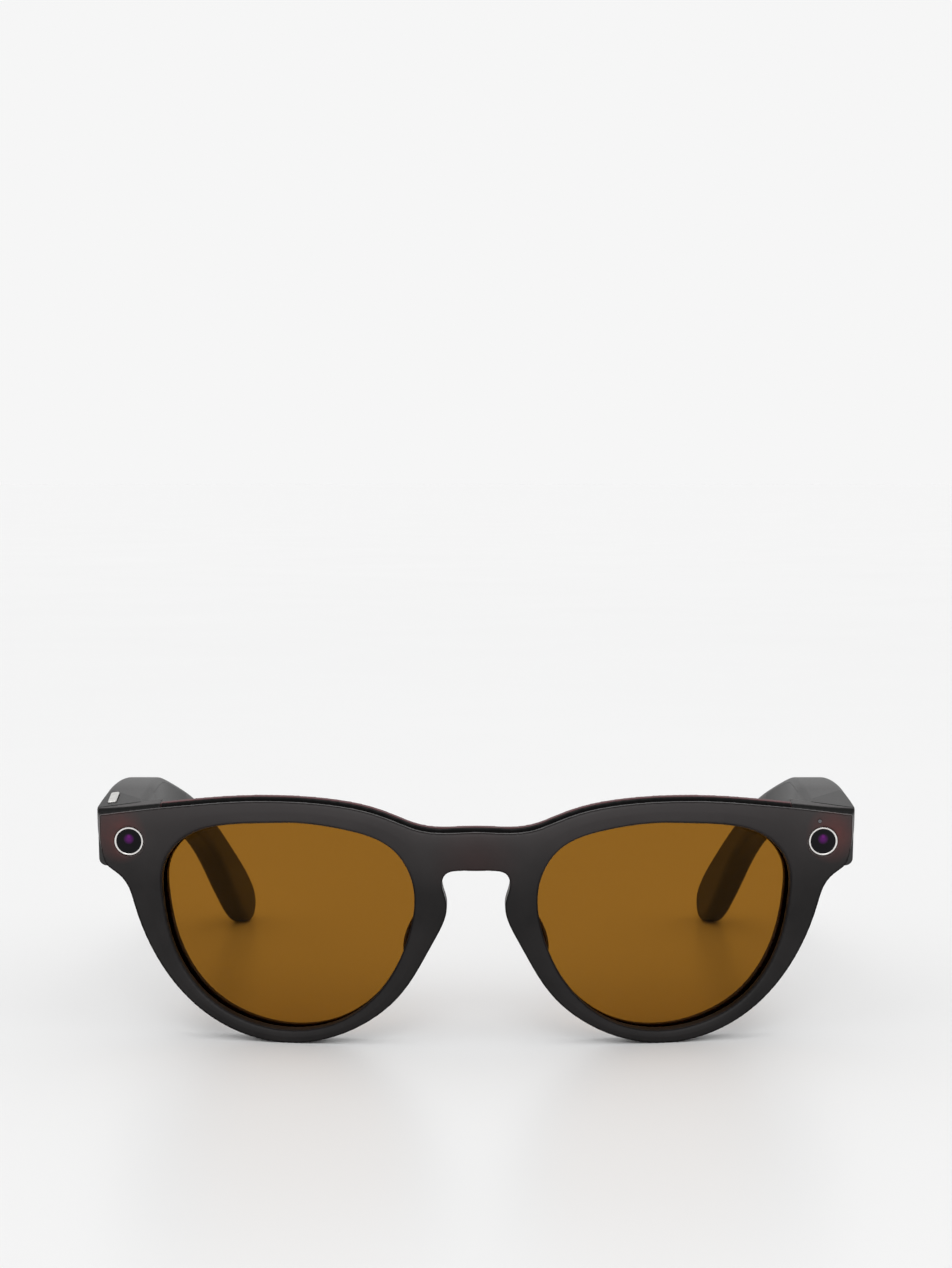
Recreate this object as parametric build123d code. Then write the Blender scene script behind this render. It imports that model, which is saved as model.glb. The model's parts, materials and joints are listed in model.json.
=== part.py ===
"""Smart glasses: a folding spectacle frame with two cameras, speakers, a battery and a control board.

Millimetres. +X is the wearer's left, -Y is forward (the way the wearer looks), +Z is up.
The model is drawn with Y = 0 at the front of the bridge and Z = 0 at the foot of the rims,
and is moved at the end so that the origin is the middle of its footprint.
Every piece is drawn on the +X side and mirrored for the -X side.
"""
from build123d import *
import math
import os

# ---------------------------------------------------------------- front: driving sizes
FRONT_WIDTH = 150.0          # over the end-pieces at the hinge seam
FACE_RADIUS = 250.0          # the front is bent round an upright cylinder
LENS_WIDTH = 51.6            # lens, edge to edge
LENS_HEIGHT = 42.1
LENS_BITE = 0.9              # how far the rim holds the lens
BRIDGE_WIDTH = 22.4          # between the two lenses, along X
RIM_FOOT = 2.85              # rim below the opening
FRONT_SHELL = 4.9            # front frame, front to back, deep enough to take the lens
REAR_SHELL = 1.7             # rear frame cover
TOP_LEAN = 0.10              # the top edge rises this much per millimetre backwards
CORNER_LEAN = 1.4            # the outer top corner rises this many times as much
SIDE_FLARE = 0.24            # the end-piece widens this much per millimetre backwards
GROOVE_START = 1.5           # the groove along the top edge, behind the face
GROOVE_DROP = 0.8
GROOVE_FLOOR = 38.0          # the groove stays above this height
BRIDGE_TOP = 41.85
BRIDGE_UNDER = 34.55

# ---------------------------------------------------------------- lenses
LENS_CURVE = 132.5           # front surface radius
LENS_THICK = 2.0
LENS_INSET = 0.9             # lens front centre behind the face
LENS_CLEAR = 0.05            # seat clearance
MOUTH_DEPTH = 2.2            # depth over which the opening narrows
MOUTH_TAPER = 0.25           # narrowing per millimetre of depth

# ---------------------------------------------------------------- end-pieces and cameras
SEAM = 17.5                  # rear face of the end-pieces
ENDPIECE_HEIGHT = 10.7
ENDPIECE_BOTTOM = 32.6
CORNER_RUN = 8.2             # the brow ends this far from the outer corner
CORNER_RISE = 1.3            # and this much above it
CAMERA_X = 67.9
CAMERA_Z = 38.8
RING_OUTER = 2.83
RING_INNER = 2.43
RING_LENGTH = 1.2
WINDOW_THICK = 0.7
WINDOW_INSET = 0.15
CAMERA_CLEAR = 0.05
COUNTERSINK = 0.55           # widening of the ring's recess at the face
BARREL_RADIUS = 2.1
BARREL_LENGTH = 1.9
CAMERA_BODY = 5.6
CAMERA_BODY_DEPTH = 1.8
CAMERA_BOARD_THICK = 0.5
POCKET_WALL = 0.3            # space round the camera body
COVER_PLATE = 1.2            # end-piece cover thickness
COVER_EDGE = 1.7             # end-piece wall outside its cover

# ---------------------------------------------------------------- hinges
HINGE_X = 62.9
KNUCKLE_RADIUS = 1.6
HINGE_TOP = 43.3
HINGE_BOTTOM = 34.9
OUTER_KNUCKLE = 2.0
WASHER_THICK = 0.15
SCREW_RADIUS = 0.6
RUNNING_CLEAR = 0.04         # hinge screw in the temple knuckle, radial
FACE_CLEAR = 0.05            # between neighbouring knuckle faces
ANCHOR_THICK = 1.2
ANCHOR_DEPTH = 4.6
LEAF_THICK = 1.0
LEAF_LENGTH = 11.5
HEAD_RADIUS = 1.05
HEAD_HEIGHT = 0.5
LEAF_SCREWS = (4.2, 9.2)
LEAF_SCREW_RADIUS = 0.5
LEAF_SCREW_HEAD = 0.9

# ---------------------------------------------------------------- temples
SEAM_GAP = 0.12
TEMPLE_STRAIGHT = 71.4       # seam to the start of the ear bend
TEMPLE_INNER = 65.6          # inner face beside the hinge
TEMPLE_WALL = 1.3
COVER_THICK = 1.2
COVER_LEDGE = 0.8
COVER_INSET = 1.1
COVER_START = 14.5           # behind the seam
COVER_END = 63.0
CAVITY_START = 2.2
COVER_CLEAR = 0.05
TEMPLE_ROUND = 1.5
FACET_TOP = 45.75            # height of the front facet at the seam, at the inner face
FACET_SLOPE = (0.134, 0.18)  # it drops outwards and climbs backwards

# ---------------------------------------------------------------- cables, boards and sound parts
CABLE_X = 70.3               # flat cable through the seam
CABLE_THICK = 0.25
CABLE_HALF = 1.8
CABLE_CLEAR = 0.2
BOARD_X = 70.15
BOARD_THICK = 0.8
BOARD_START = 7.4            # behind the seam
PORT_RADIUS = 0.35
SPEAKER_START = 51.5
SPEAKER_LENGTH = 8.5
SPEAKER_THICK = 2.0
SPEAKER_Z = (33.4, 38.8)
MESH_INSET = 0.8
TEMPLE_MIC = (71.2, 6.4, 35.0)
BATTERY = (26.9, 46.4, 69.75, 72.8, 34.0, 42.2)
SHIELD = (16.5, 28.5, 1.4)

# ---------------------------------------------------------------- small parts of the front
FLEX_HEIGHT = 1.4
FLEX_THICK = 0.2
LED_X = 67.0
LED_Z = 42.9
LED_RADIUS = 0.35
LED_DEPTH = 4.0
PAD_CENTRE = (10.6, 7.4, 21.8)
PAD_HALF = (2.5, 4.8, 6.2)
PAD_TILT = -24               # the pads spread downwards
PAD_SPLAY = 20               # and backwards
CONTACT_X = 3.2
CONTACT_Z = 37.6
CONTACT_SIZE = 2.6
MIC_SIZE = (2.6, 1.0, 1.2)
MIC_RISE = 2.0

# ---------------------------------------------------------------- controls
BUTTON_LENGTH = 6.0
BUTTON_WIDTH = 1.7
BUTTON_BACK = 4.4            # button centre behind the seam
BUTTON_X = 72.4
BUTTON_PROUD = 0.45
BUTTON_TRAVEL = 0.3
BUTTON_CLEAR = 0.12
BUTTON_BODY = 1.5
BUTTON_RIM = 0.35            # retaining flange
BUTTON_CORNER = 0.4          # corner radius
SWITCH_BODY = (1.8, 3.0, 0.8)  # tactile switch under the button
DOME_RADIUS = 0.7
DOME_HEIGHT = 0.2
SWITCH_BACK = 22.0           # power switch centre behind the seam
SWITCH_Z = 38.5
SWITCH_LENGTH = 3.2
SWITCH_HEIGHT = 1.8
SWITCH_TRAVEL = 2.0
SWITCH_CLEAR = 0.15

# ---------------------------------------------------------------- derived sizes
OPEN_HALF_WIDTH = LENS_WIDTH / 2 - LENS_BITE
OPEN_HALF_HEIGHT = LENS_HEIGHT / 2 - LENS_BITE
LENS_Z = RIM_FOOT + OPEN_HALF_HEIGHT
LENS_X = (BRIDGE_WIDTH + LENS_WIDTH) / 2
OPEN_TOP = LENS_Z + OPEN_HALF_HEIGHT
FRONT_THICK = FRONT_SHELL + REAR_SHELL


def face_depth(x):
    """Y of the front face at x."""
    return FACE_RADIUS - math.sqrt(FACE_RADIUS ** 2 - x ** 2)


FACE_HALF = FRONT_WIDTH / 2 - SIDE_FLARE * (SEAM - face_depth(FRONT_WIDTH / 2))
OPEN_IN = LENS_X - OPEN_HALF_WIDTH
OPEN_OUT = LENS_X + OPEN_HALF_WIDTH
ENDPIECE_TOP = OPEN_TOP + 0.45
ENDPIECE_INNER = OPEN_OUT
HINGE_Y = SEAM + SEAM_GAP / 2
TEMPLE_START = SEAM + SEAM_GAP
BEND = TEMPLE_START + TEMPLE_STRAIGHT
LENS_LEAN = math.asin(LENS_X / FACE_RADIUS)
HINGE_MIDDLE = (HINGE_BOTTOM + HINGE_TOP) / 2

# The lens opening: x and z as shares of its half width and half height.
OPENING = [
    (0.04, 1.0), (0.488, 0.968), (0.825, 0.824), (0.984, 0.571), (0.996, 0.263),
    (0.907, -0.233), (0.65, -0.697), (0.321, -0.926), (-0.057, -1.0), (-0.439, -0.891),
    (-0.756, -0.566), (-0.963, -0.05), (-0.992, 0.442), (-0.846, 0.757), (-0.488, 0.94),
]

# The rim's outer edge: a place on the opening, then how far outside it the edge lies (x, z).
RIM_EDGE = [
    (0.996, 0.263, 5.7, 0.0), (0.907, -0.233, 3.67, -1.46), (0.65, -0.697, 1.9, -2.17),
    (0.321, -0.926, 0.97, -2.75), (-0.057, -1.0, -0.1, -RIM_FOOT), (-0.439, -0.891, -1.2, -2.45),
    (-0.756, -0.566, -2.84, -2.26), (-0.963, -0.05, -4.95, -1.14),
]

# The end-piece's side and lower corner, from its top corner: x, z and how much it flares.
ENDPIECE_EDGE = [
    (0.0, 0.0, 1.0), (-0.05, -0.34, 1.0), (-0.45, -0.67, 0.8), (-1.4, -0.88, 0.5), (-2.8, -1.0, 0.0),
]
ENDPIECE_HEEL = (-4.7, -1.3)

# The brow: share of the opening's half width from the lens centre, and height over the opening.
BROW = [
    (-1.037, -0.95), (-0.854, 0.75), (-0.667, 2.35), (-0.386, 3.65), (0.0, 4.25),
    (0.374, 4.0), (0.76, 3.05),
]

# The keyhole under the bridge: x from the neck of the keyhole, and z from the bridge's underside.
NECK_RIM = 6.4
KEYHOLE = [(0.0, -6.15), (0.85, -2.55), (0.1, -0.65), (-1.7, -0.05)]

# The temple's top edge along its straight part: share of the straight length, and height.
TEMPLE_TOP_FRONT = 45.8
TEMPLE_CREST = (12.4, 46.7)
TEMPLE_TOP = [(0.28, 46.85), (0.41, 46.5), (0.55, 45.5), (0.69, 43.6), (0.84, 40.8), (1.0, 36.8)]
# The ear hook, from the bend: over the top, round the tip and back along the underside.
HOOK = [
    (15.0, 29.0), (29.0, 20.2), (38.0, 14.4), (44.0, 9.9), (47.0, 6.2), (47.2, 3.2), (45.2, 0.6),
    (42.0, 0.0), (36.5, 2.2), (31.5, 6.2), (26.8, 10.4), (20.0, 16.9), (14.0, 21.8), (8.0, 25.6),
    (1.0, 28.4),
]
TEMPLE_UNDER = [(0.84, 30.3), (0.6, 31.2)]
TEMPLE_UNDER_FRONT = 32.8
# The temple from above: millimetres behind the seam, and x of the outer and the inner face.
PLAN_OUTER = [(0.0, 75.0), (25.0, 75.05), (43.0, 74.8), (58.0, 73.2), (72.0, 70.2), (91.0, 66.0),
              (105.0, 62.8), (128.0, 57.8)]
PLAN_INNER = [(13.5, 0.0), (27.0, 0.6), (43.0, 1.3), (58.0, 0.4), (72.0, -1.9), (91.0, -5.7),
              (105.0, -8.3), (128.0, -12.3)]

LEFT = 1
RIGHT = -1
PARTS = {}


def add(name, shape):
    """Keep a finished piece under its node name."""
    PARTS[name] = shape


def both(name, shape):
    """Keep a +X piece as the left one and its mirror image as the right one."""
    add(name + "_left", shape)
    add(name + "_right", mirror(shape, about=Plane.YZ))


def block(x0, x1, y0, y1, z0, z1):
    """A box between two corners."""
    size = Box(x1 - x0, y1 - y0, z1 - z0)
    return Pos((x0 + x1) / 2, (y0 + y1) / 2, (z0 + z1) / 2) * size


def rounded_block(x0, x1, y0, y1, z0, z1, radius, axis):
    """A box with the four edges along one axis rounded."""
    shape = block(x0, x1, y0, y1, z0, z1)
    return fillet(shape.edges().filter_by(axis), radius)


def rod_y(x, z, radius, y0, y1):
    """A cylinder along Y."""
    return Pos(x, (y0 + y1) / 2, z) * Rot(90, 0, 0) * Cylinder(radius, y1 - y0)


def rod_z(x, y, radius, z0, z1):
    """A cylinder along Z."""
    return Pos(x, y, (z0 + z1) / 2) * Cylinder(radius, z1 - z0)


def rod_x(y, z, radius, x0, x1):
    """A cylinder along X."""
    return Pos((x0 + x1) / 2, y, z) * Rot(0, 90, 0) * Cylinder(radius, x1 - x0)


def bent_slab(inset, thick):
    """Everything between two depths behind the curved face."""
    tall = 120
    outer = rod_z(0, FACE_RADIUS, FACE_RADIUS - inset, -tall / 2, tall)
    inner = rod_z(0, FACE_RADIUS, FACE_RADIUS - inset - thick, -tall / 2, tall)
    return outer - inner


# ---------------------------------------------------------------- outlines
def leaning(x, z, flare, rise, depth):
    """A point of the front's edge, moved out and up as the edge goes back."""
    behind = depth - face_depth(x)
    return (x + flare * SIDE_FLARE * behind, depth, z + rise * TOP_LEAN * behind)


def front_outline(depth):
    """The front's silhouette at one depth, as a face."""
    side = [leaning(FACE_HALF + x, ENDPIECE_TOP + z * ENDPIECE_HEIGHT, flare, CORNER_LEAN if z == 0 else 0.0, depth)
            for x, z, flare in ENDPIECE_EDGE]
    heel = [(FACE_HALF + ENDPIECE_HEEL[0], depth, ENDPIECE_TOP - ENDPIECE_HEIGHT + ENDPIECE_HEEL[1])]
    rim = [(LENS_X + u * OPEN_HALF_WIDTH + dx, depth, LENS_Z + w * OPEN_HALF_HEIGHT + dz)
           for u, w, dx, dz in RIM_EDGE]
    keyhole = [(OPEN_IN - NECK_RIM + x, depth, BRIDGE_UNDER + z) for x, z in KEYHOLE]
    half = side + heel + rim + keyhole
    lower = half + [(0, depth, BRIDGE_UNDER)] + [(-x, y, z) for x, y, z in reversed(half)]
    brow = [leaning(0, BRIDGE_TOP, 0, 1, depth), leaning(7.0, BRIDGE_TOP - 0.2, 0, 1, depth)]
    brow += [leaning(LENS_X + u * OPEN_HALF_WIDTH, OPEN_TOP + rise, 0, 1, depth) for u, rise in BROW]
    brow += [leaning(FACE_HALF - CORNER_RUN, ENDPIECE_TOP + CORNER_RISE, 0, 1, depth), side[0]]
    upper = [(-x, y, z) for x, y, z in reversed(brow[1:])] + brow
    return make_face([Spline(*lower), Spline(*upper)])


def lens_plane(inset=0.0):
    """The plane of one lens, parallel to the face at the lens centre; local z points forward."""
    forward = Vector(math.sin(LENS_LEAN), -math.cos(LENS_LEAN), 0)
    across = Vector(math.cos(LENS_LEAN), math.sin(LENS_LEAN), 0)
    centre = Vector(LENS_X, face_depth(LENS_X), LENS_Z) - forward * inset
    return Plane(origin=centre, x_dir=across, z_dir=forward)


def opening_outline(grow, inset):
    """The lens outline, grown all round, in the lens plane at a depth behind the face."""
    points = [(u * (OPEN_HALF_WIDTH + grow), w * (OPEN_HALF_HEIGHT + grow)) for u, w in OPENING]
    return lens_plane(inset) * make_face(Spline(*points, periodic=True))


def lens_prism(grow):
    """The lens outline carried right through the front."""
    return extrude(opening_outline(grow, -6), amount=-30)


def lens_ball(shrink):
    """The sphere of a lens surface, made smaller by a thickness."""
    centre = lens_plane(LENS_INSET + LENS_CURVE).origin
    return Pos(*centre) * Sphere(LENS_CURVE - shrink)


# ---------------------------------------------------------------- front frame, cover and lenses
def half_silhouette():
    """The +X half of the front's silhouette, carried from the face to behind the seam."""
    shape = loft([front_outline(-1.0), front_outline(SEAM + 1)], ruled=True)
    return shape & block(0, FRONT_WIDTH, -5, SEAM + 5, -20, OPEN_TOP + 30)


def endpiece_zone(end=SEAM):
    """The solid end-piece behind the face, up to the hinge seam."""
    return block(ENDPIECE_INNER, FRONT_WIDTH, 0, end, ENDPIECE_BOTTOM, OPEN_TOP + 20)


def mouth():
    """The opening in front of the lens, narrowing towards it, with the tunnel behind."""
    wide = MOUTH_TAPER * (MOUTH_DEPTH + 3)
    funnel = loft([opening_outline(wide, -3), opening_outline(0, MOUTH_DEPTH)], ruled=True)
    return funnel + extrude(opening_outline(0, MOUTH_DEPTH), amount=-20)


def flex_band(height, inset, thick):
    """A strip following the brow from one camera to the other."""
    line = [(0, BRIDGE_TOP - 3.2), (7.5, BRIDGE_TOP - 3.0),
            (LENS_X - 0.87 * OPEN_HALF_WIDTH, OPEN_TOP - 1.6), (LENS_X - 0.45 * OPEN_HALF_WIDTH, OPEN_TOP + 1.9),
            (LENS_X, OPEN_TOP + 2.5), (LENS_X + 0.45 * OPEN_HALF_WIDTH, OPEN_TOP + 2.2),
            (LENS_X + 0.9 * OPEN_HALF_WIDTH, OPEN_TOP + 0.1), (CAMERA_X - 3.0, OPEN_TOP - 2.0)]
    path = [(-x, z) for x, z in reversed(line[1:])] + line
    upper = Spline(*[(x, 0, z + height / 2) for x, z in path])
    lower = Spline(*[(x, 0, z - height / 2) for x, z in path])
    ends = [Line(upper @ 0, lower @ 0), Line(upper @ 1, lower @ 1)]
    band = extrude(make_face([upper, lower] + ends), amount=40, dir=(0, 1, 0))
    return band & bent_slab(inset, thick)


def front_cable():
    """The flat cable across the brow, cut back round the hinge anchors."""
    clear = anchor(0.15)
    return flex_band(FLEX_HEIGHT, FRONT_SHELL - 0.45, FLEX_THICK) - clear - mirror(clear, about=Plane.YZ)


def camera_face():
    """Y of the camera ring's front: level with the face at the ring's outer side."""
    return face_depth(CAMERA_X + RING_OUTER)


def pocket_end():
    """Y where the camera pocket ends, at the end-piece cover."""
    return SEAM - COVER_PLATE


def camera_pocket():
    """Recess for the ring, the window and the camera, open to the rear under the cover."""
    front = camera_face()
    hole = rod_y(CAMERA_X, CAMERA_Z, RING_OUTER + CAMERA_CLEAR, front - 6, front + RING_LENGTH)
    flare = Pos(CAMERA_X, front - 1, CAMERA_Z) * Rot(90, 0, 0) * Cone(
        RING_OUTER + CAMERA_CLEAR, RING_OUTER + CAMERA_CLEAR + COUNTERSINK, 2)
    half = CAMERA_BODY / 2 + POCKET_WALL
    start = front + RING_LENGTH
    neck = rod_y(CAMERA_X, CAMERA_Z, BARREL_RADIUS + 0.1, front, start + BARREL_LENGTH)
    back = block(CAMERA_X - half, CAMERA_X + half, start + BARREL_LENGTH - 0.6, pocket_end() + 0.01,
                 CAMERA_Z - half, CAMERA_Z + half)
    return hole + flare + neck + back


def cover_recess(shrink):
    """The plate-shaped space at the rear of the end-piece."""
    return rounded_block(HINGE_X + KNUCKLE_RADIUS + 0.5 + shrink, FRONT_WIDTH / 2 - COVER_EDGE - shrink,
                         pocket_end(), SEAM, ENDPIECE_BOTTOM + COVER_EDGE + shrink,
                         ENDPIECE_TOP - 0.4 - shrink, 2.0, Axis.Y)


def hinge_notch():
    """Space in the end-piece for the knuckles."""
    margin = 0.25
    gap = KNUCKLE_RADIUS + margin
    return block(ENDPIECE_INNER - 5, HINGE_X + gap, HINGE_Y - gap, SEAM + 1,
                 HINGE_BOTTOM - HEAD_HEIGHT - margin, HINGE_TOP + HEAD_HEIGHT + margin)


def anchor(grow):
    """The hinge's anchor plate, sunk into the end-piece."""
    half = ANCHOR_THICK / 2 + grow
    return block(HINGE_X - half, HINGE_X + half, HINGE_Y - KNUCKLE_RADIUS - ANCHOR_DEPTH + 1.5 - grow, HINGE_Y - 1,
                 HINGE_BOTTOM + 0.3 - grow, HINGE_TOP - 0.3 + grow)


def top_groove():
    """The groove along the front's top edge, between the face and the rear cover."""
    strip = half_silhouette() & bent_slab(GROOVE_START, FRONT_SHELL - GROOVE_START)
    above = block(-1, FRONT_WIDTH, -5, SEAM + 5, GROOVE_FLOOR, OPEN_TOP + 30)
    return (strip & above) - Pos(0, 0, -GROOVE_DROP) * half_silhouette()


def make_front():
    """The front frame with its lens seats, camera pockets and hinge notches."""
    thick_end = endpiece_zone() & bent_slab(0, FACE_RADIUS / 2)
    frame = half_silhouette() & (bent_slab(0, FRONT_SHELL) + thick_end)
    seat = lens_prism(LENS_BITE + LENS_CLEAR) & lens_ball(-LENS_CLEAR)
    cuts = [mouth(), seat, camera_pocket(), cover_recess(0), hinge_notch(), anchor(0.02), top_groove()]
    for cut in cuts:
        frame = frame - cut
    frame = frame + mirror(frame, about=Plane.YZ)
    frame = frame - led_guide(0.02) - led_chip(0.05)
    return frame - flex_band(FLEX_HEIGHT + 0.4, FRONT_SHELL - 0.6, 0.6)


def led_guide(grow):
    """The recording light's guide above the left camera."""
    start = face_depth(LED_X)
    return rod_y(LED_X, LED_Z, LED_RADIUS + grow, start + 0.05 - 20 * grow, start + LED_DEPTH)


def led_chip(grow):
    """The recording light itself, at the end of its guide."""
    start = face_depth(LED_X) + LED_DEPTH
    return block(LED_X - 0.8 - grow, LED_X + 0.8 + grow, start, start + 0.8 + grow,
                 LED_Z - 0.55 - grow, LED_Z + 0.55 + grow)


def nose_pad():
    """One nose pad, a soft swelling on the rear cover beside the keyhole."""
    lump = scale(Sphere(1), by=PAD_HALF)
    return Pos(*PAD_CENTRE) * Rot(0, PAD_TILT, PAD_SPLAY) * lump


def make_rear():
    """The rear frame cover with its nose pads and the charging contact seats."""
    tunnel = extrude(opening_outline(0, 0), amount=-40)
    cover = half_silhouette() & bent_slab(FRONT_SHELL, REAR_SHELL)
    cover = cover - endpiece_zone(SEAM + 5) - tunnel
    pad = nose_pad() & block(0, 40, face_depth(PAD_CENTRE[0]) + FRONT_SHELL + 0.3, 40, 0, 60)
    cover = cover + (pad - tunnel)
    cover = cover + mirror(cover, about=Plane.YZ)
    cover = cover - contact_pads(0.02) - contact_board(0.05) - microphone(0.05)
    return cover


def contact_pads(grow):
    """The two charging contacts, flush with the rear of the bridge."""
    half = CONTACT_SIZE / 2 + grow
    pad = rounded_block(CONTACT_X - half, CONTACT_X + half, FRONT_SHELL + 1.0 - grow, FRONT_THICK + 0.15 + 3 * grow,
                        CONTACT_Z - half, CONTACT_Z + half, 0.6, Axis.Y)
    return pad + mirror(pad, about=Plane.YZ)


def contact_board(grow):
    """The small board behind the charging contacts."""
    reach = CONTACT_X + CONTACT_SIZE / 2 + 0.6 + grow
    half = CONTACT_SIZE / 2 + 0.3 + grow
    return block(-reach, reach, FRONT_SHELL + 0.3 - grow, FRONT_SHELL + 1.0, CONTACT_Z - half, CONTACT_Z + half)


def microphone(grow):
    """The bridge microphone, above the contacts."""
    width, depth, height = MIC_SIZE
    return block(-width / 2 - grow, width / 2 + grow, FRONT_SHELL + 0.3 - grow, FRONT_SHELL + 0.3 + depth + grow,
                 CONTACT_Z + MIC_RISE - grow, CONTACT_Z + MIC_RISE + height + grow)


def make_lens():
    """One lens: a curved sheet cut to the opening plus the rim's bite."""
    return lens_prism(LENS_BITE) & (lens_ball(0) - lens_ball(LENS_THICK))


def make_cameras():
    """Ring, window, camera and board in each end-piece."""
    front = camera_face()
    ring = rod_y(CAMERA_X, CAMERA_Z, RING_OUTER, front, front + RING_LENGTH)
    ring = ring - rod_y(CAMERA_X, CAMERA_Z, RING_INNER, front - 1, front + RING_LENGTH + 1)
    ring = fillet(ring.edges().sort_by(Axis.Y)[:2], 0.12)
    both("camera_ring", ring)
    start = front + WINDOW_INSET
    both("camera_window", rod_y(CAMERA_X, CAMERA_Z, RING_INNER - 0.02, start, start + WINDOW_THICK))
    half = CAMERA_BODY / 2
    tip = front + WINDOW_INSET + WINDOW_THICK + 0.1
    body_start = front + RING_LENGTH + BARREL_LENGTH - 0.6
    barrel = rod_y(CAMERA_X, CAMERA_Z, BARREL_RADIUS, tip, body_start)
    barrel = barrel - rod_y(CAMERA_X, CAMERA_Z, BARREL_RADIUS * 0.55, tip - 1, tip + 0.5)
    body = rounded_block(CAMERA_X - half, CAMERA_X + half, body_start, body_start + CAMERA_BODY_DEPTH,
                         CAMERA_Z - half, CAMERA_Z + half, 0.6, Axis.Y)
    both("camera_module", barrel + body)
    board_start = body_start + CAMERA_BODY_DEPTH
    board = block(CAMERA_X - half, CAMERA_X + half, board_start, board_start + CAMERA_BOARD_THICK,
                  CAMERA_Z - half, CAMERA_Z + half)
    both("camera_board", board)
    return board_start + CAMERA_BOARD_THICK


def make_hinges():
    """Front leaf, temple leaf, washers and screws."""
    middle_bottom = HINGE_BOTTOM + OUTER_KNUCKLE + 2 * FACE_CLEAR + WASHER_THICK
    middle_top = HINGE_TOP - OUTER_KNUCKLE - 2 * FACE_CLEAR - WASHER_THICK
    bore = rod_z(HINGE_X, HINGE_Y, SCREW_RADIUS, 0, 60)
    lower = rod_z(HINGE_X, HINGE_Y, KNUCKLE_RADIUS, HINGE_BOTTOM, HINGE_BOTTOM + OUTER_KNUCKLE)
    upper = rod_z(HINGE_X, HINGE_Y, KNUCKLE_RADIUS, HINGE_TOP - OUTER_KNUCKLE, HINGE_TOP)
    clear_radius = KNUCKLE_RADIUS + 0.25
    middle_space = rod_z(HINGE_X, HINGE_Y, clear_radius, HINGE_BOTTOM + OUTER_KNUCKLE, HINGE_TOP - OUTER_KNUCKLE)
    front_leaf = lower + upper + (anchor(0) - middle_space)
    both("hinge_front_leaf", front_leaf - bore)
    knuckle = rod_z(HINGE_X, HINGE_Y, KNUCKLE_RADIUS, middle_bottom, middle_top)
    leaf_outer = TEMPLE_INNER
    leaf = block(leaf_outer - LEAF_THICK, leaf_outer, TEMPLE_START + 0.2, TEMPLE_START + LEAF_LENGTH,
                 middle_bottom, middle_top)
    arm = block(HINGE_X, leaf_outer, HINGE_Y + 0.1, HINGE_Y + KNUCKLE_RADIUS - 0.1, middle_bottom, middle_top)
    holes = Part()
    for back in LEAF_SCREWS:
        holes += rod_x(TEMPLE_START + back, HINGE_MIDDLE, LEAF_SCREW_RADIUS, leaf_outer - 3, leaf_outer + 3)
    loose = rod_z(HINGE_X, HINGE_Y, SCREW_RADIUS + RUNNING_CLEAR, 0, 60)
    both("hinge_temple_leaf", knuckle + leaf + arm - loose - holes)
    washers = []
    screws = []
    for side in (LEFT, RIGHT):
        for low in (HINGE_BOTTOM + OUTER_KNUCKLE + FACE_CLEAR, middle_top + FACE_CLEAR):
            disc = rod_z(side * HINGE_X, HINGE_Y, KNUCKLE_RADIUS - 0.1, low, low + WASHER_THICK)
            hole = rod_z(side * HINGE_X, HINGE_Y, SCREW_RADIUS + 0.01, low - 1, low + 1)
            washers.append(disc - hole)
        shank = rod_z(side * HINGE_X, HINGE_Y, SCREW_RADIUS, HINGE_BOTTOM, HINGE_TOP)
        head = rod_z(side * HINGE_X, HINGE_Y, HEAD_RADIUS, HINGE_TOP, HINGE_TOP + HEAD_HEIGHT)
        slot = block(side * HINGE_X - 2, side * HINGE_X + 2, HINGE_Y - 0.12, HINGE_Y + 0.12,
                     HINGE_TOP + HEAD_HEIGHT - 0.25, HINGE_TOP + HEAD_HEIGHT + 1)
        screws.append(shank + head - slot)
    add("hinge_washers", washers)
    add("hinge_screws", screws)


def leaf_screws():
    """The two screws that hold the temple leaf."""
    screws = []
    for back in LEAF_SCREWS:
        shank = rod_x(TEMPLE_START + back, HINGE_MIDDLE, LEAF_SCREW_RADIUS, TEMPLE_INNER - LEAF_THICK,
                      TEMPLE_INNER + 1.1)
        head = rod_x(TEMPLE_START + back, HINGE_MIDDLE, LEAF_SCREW_HEAD, TEMPLE_INNER - LEAF_THICK - 0.35,
                     TEMPLE_INNER - LEAF_THICK)
        screws.append(shank + head)
    return screws


# ---------------------------------------------------------------- temples
def temple_side(inset):
    """The temple's side silhouette, drawn smaller all round by an inset."""
    def place(back, z):
        return (0, back, z)
    start = TEMPLE_START
    crest_y = start + TEMPLE_CREST[0]
    top = [place(start, TEMPLE_TOP_FRONT - inset), place(crest_y, TEMPLE_CREST[1] - inset)]
    run = [place(start + share * TEMPLE_STRAIGHT, z - inset) for share, z in TEMPLE_TOP]
    hook = [place(BEND + back, z) for back, z in HOOK]
    under = [place(start + share * TEMPLE_STRAIGHT, z + inset) for share, z in TEMPLE_UNDER]
    foot = place(start, TEMPLE_UNDER_FRONT + inset)
    rise = Vector(*top[1]) - Vector(*top[0])
    fall = Vector(*foot) - Vector(*under[-1])
    curve = Spline(*([top[1]] + run + hook + under), tangents=[rise, fall])
    edges = [Line(top[0], top[1]), curve, Line(under[-1], foot), Line(foot, top[0])]
    face = make_face(edges)
    return extrude(face, amount=100, dir=(1, 0, 0))


def temple_plan(outer_inset, inner_inset):
    """The temple seen from above, drawn thinner by an inset at each face."""
    outer = [(x - outer_inset, TEMPLE_START + back, -5) for back, x in PLAN_OUTER]
    inner = [(TEMPLE_INNER + dx + inner_inset, TEMPLE_START + back, -5) for back, dx in PLAN_INNER]
    corner = (TEMPLE_INNER + inner_inset, TEMPLE_START, -5)
    outside = Spline(*outer)
    inside = Spline(*inner, tangents=[(0, 1, 0), (-0.21, 1, 0)])
    edges = [outside, Line(outer[-1], inner[-1]), inside, Line(inner[0], corner), Line(corner, outer[0])]
    return extrude(make_face(edges), amount=60, dir=(0, 0, 1))


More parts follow.
